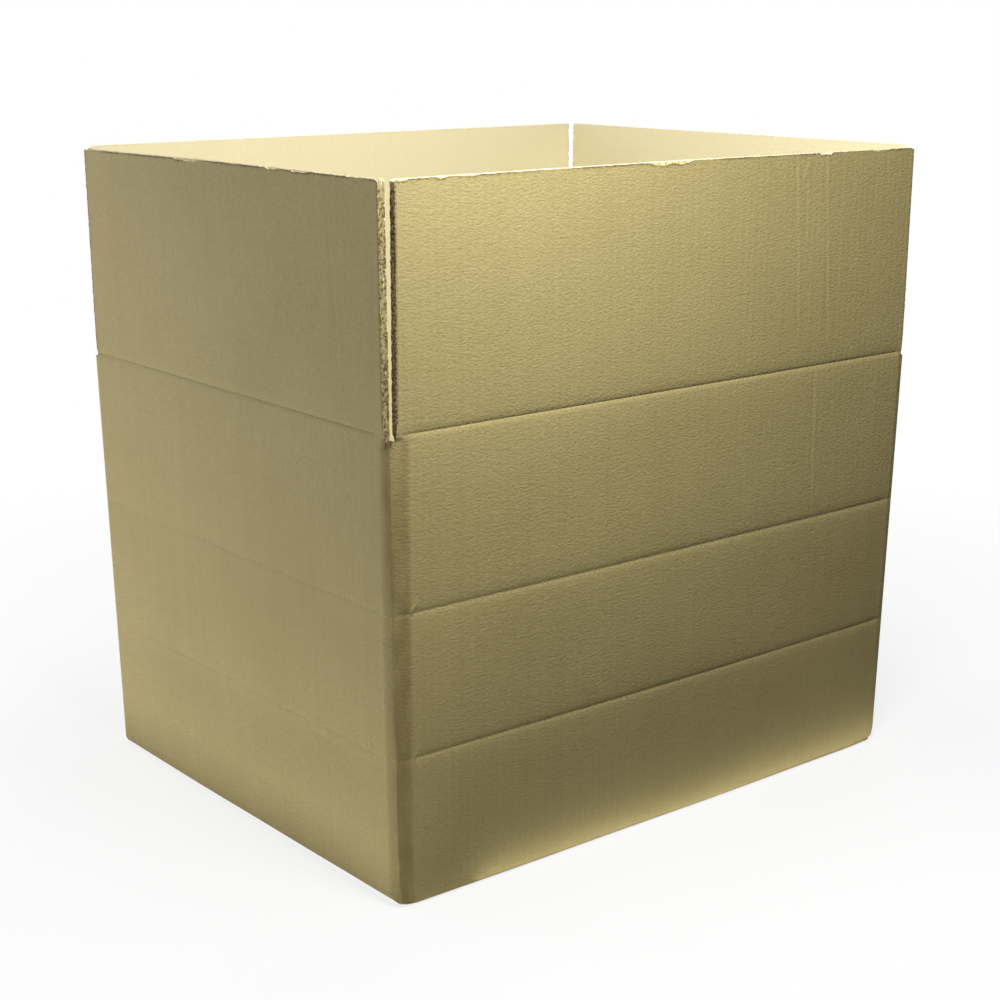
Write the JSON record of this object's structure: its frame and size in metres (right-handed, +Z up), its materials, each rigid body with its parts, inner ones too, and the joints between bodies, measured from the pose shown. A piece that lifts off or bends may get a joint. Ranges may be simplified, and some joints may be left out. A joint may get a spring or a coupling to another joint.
{
  "type": "corrugated box",
  "caption": "Open shipping box folded from one sheet of double-wall corrugated kraft board, with extra score lines round its walls and upright hinged top flaps.",
  "frame": {"origin": "middle of the footprint, on the surface that the box stands on", "axes": "+Z up, +X along the long walls, +Y from the front wall to the back wall"},
  "size_m": [0.636, 0.516, 0.62],
  "materials": {
    "kraft_board": "matt kraft liner"
  },
  "bodies": {
    "box_body": {"box_body": "kraft_board"},
    "front_flap": {"front_flap": "kraft_board"},
    "back_flap": {"back_flap": "kraft_board"},
    "left_flap": {"left_flap": "kraft_board"},
    "right_flap": {"right_flap": "kraft_board"}
  },
  "joints": [
    {"name": "front_flap_fold", "type": "hinge", "parent": "box_body", "child": "front_flap", "pos_m": [0, -0.258, 0.421], "axis": [-1, 0, 0], "range_deg": [-170, 90]},
    {"name": "back_flap_fold", "type": "hinge", "parent": "box_body", "child": "back_flap", "pos_m": [0, 0.258, 0.421], "axis": [1, 0, 0], "range_deg": [-170, 90]},
    {"name": "left_flap_fold", "type": "hinge", "parent": "box_body", "child": "left_flap", "pos_m": [-0.318, 0, 0.4141], "axis": [0, 1, 0], "range_deg": [-170, 90]},
    {"name": "right_flap_fold", "type": "hinge", "parent": "box_body", "child": "right_flap", "pos_m": [0.318, 0, 0.4141], "axis": [0, -1, 0], "range_deg": [-170, 90]}
  ]
}
